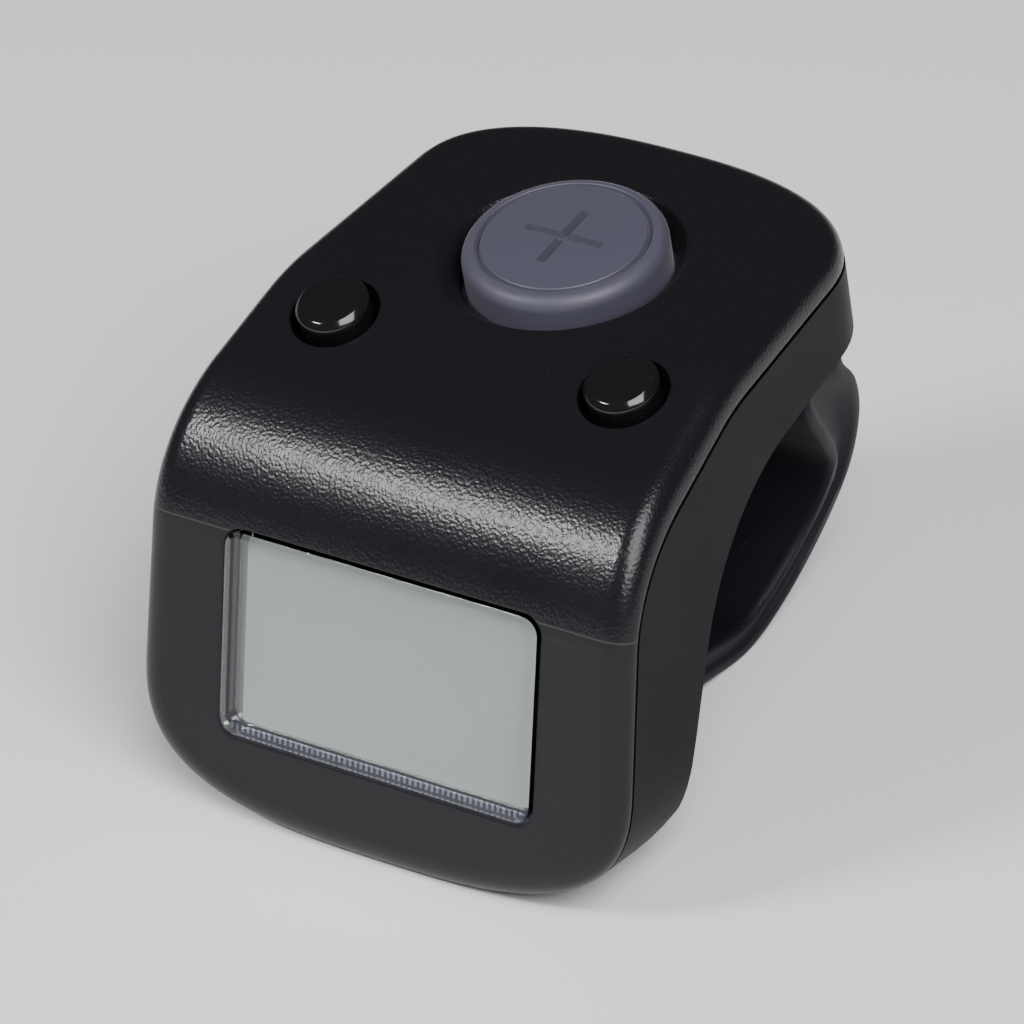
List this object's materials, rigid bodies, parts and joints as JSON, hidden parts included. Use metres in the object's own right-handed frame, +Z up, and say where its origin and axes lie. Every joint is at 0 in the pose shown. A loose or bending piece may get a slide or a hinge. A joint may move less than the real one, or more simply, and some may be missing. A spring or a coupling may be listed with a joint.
{
  "type": "hand tally counter",
  "caption": "Finger-worn electronic tally counter: curved black case with display window, large count button, two small buttons and a silicone ring.",
  "frame": {"origin": "middle of the part's footprint, on the surface it stands on: the case's lower edge and the ring's lowest curve touch Z = 0", "axes": "+X across the case, along the axis of the finger hole; +Y from the display to the rear; +Z up, with the buttons on top"},
  "size_m": [0.0282, 0.0338, 0.0263],
  "materials": {
    "cover_plastic": "black ABS with a fine spark-eroded grain",
    "shell_plastic": "black ABS, plain matte",
    "lens_acrylic": "clear polished acrylic",
    "display_front": "liquid-crystal cell with its front polariser",
    "display_rear": "rear glass with a reflecting polariser",
    "holder_plastic": "black moulded frame",
    "zebra_rubber": "striped contact rubber",
    "board_laminate": "green solder mask on glass-epoxy board",
    "ribbon_film": "amber polyimide film",
    "chip_resin": "black epoxy drop",
    "crystal_can": "drawn metal can",
    "capacitor_ceramic": "fired ceramic block with tinned ends",
    "button_silicone": "slate silicone, satin",
    "ring_silicone": "dark slate-purple silicone, matte",
    "button_gloss": "polished black plastic",
    "switch_plastic": "black moulded housing",
    "plunger_plastic": "red moulded plunger",
    "cell_steel": "nickel-plated steel can",
    "contact_steel": "nickel-plated spring steel",
    "screw_steel": "zinc-plated steel"
  },
  "bodies": {
    "case": {"top_cover": "cover_plastic", "bottom_cover": "shell_plastic", "display_lens": "lens_acrylic", "lcd_front_glass": "display_front", "lcd_rear_glass": "display_rear", "lcd_holder": "holder_plastic", "zebra_strip": "zebra_rubber", "display_board": "board_laminate", "main_board": "board_laminate", "board_ribbon": "ribbon_film", "chip_coating": "chip_resin", "clock_crystal": "crystal_can", "capacitor_1": "capacitor_ceramic", "capacitor_2": "capacitor_ceramic", "finger_ring": "ring_silicone", "count_switch": "switch_plastic", "reset_switch": "switch_plastic", "mode_switch": "switch_plastic", "button_cell": "cell_steel", "cell_contact_negative": "contact_steel", "cell_contact_positive": "contact_steel", "case_screw_1": "screw_steel", "case_screw_2": "screw_steel", "case_screw_3": "screw_steel", "case_screw_4": "screw_steel"},
    "count_button": {"count_button": "button_silicone", "count_switch_plunger": "plunger_plastic"},
    "reset_button": {"reset_button": "button_gloss", "reset_switch_plunger": "plunger_plastic"},
    "mode_button": {"mode_button": "button_gloss", "mode_switch_plunger": "plunger_plastic"},
    "battery_door": {"battery_door": "shell_plastic", "battery_door_screw": "screw_steel"}
  },
  "joints": [
    {"name": "count_button_press", "type": "slide", "parent": "case", "child": "count_button", "axis": [0, 0.153, -0.9882], "range_m": [0, 0.0003], "stiffness_N_per_m": 3000, "springref_m": -0.0002},
    {"name": "reset_button_press", "type": "slide", "parent": "case", "child": "reset_button", "axis": [0, 0.3584, -0.9336], "range_m": [0, 0.0003], "stiffness_N_per_m": 2000, "springref_m": -0.0002},
    {"name": "mode_button_press", "type": "slide", "parent": "case", "child": "mode_button", "axis": [0, 0.3584, -0.9336], "range_m": [0, 0.0003], "stiffness_N_per_m": 2000, "springref_m": -0.0002},
    {"name": "battery_door_lift", "type": "slide", "parent": "case", "child": "battery_door", "axis": [0, 0.9323, -0.3616], "range_m": [0, 0.0035]}
  ]
}
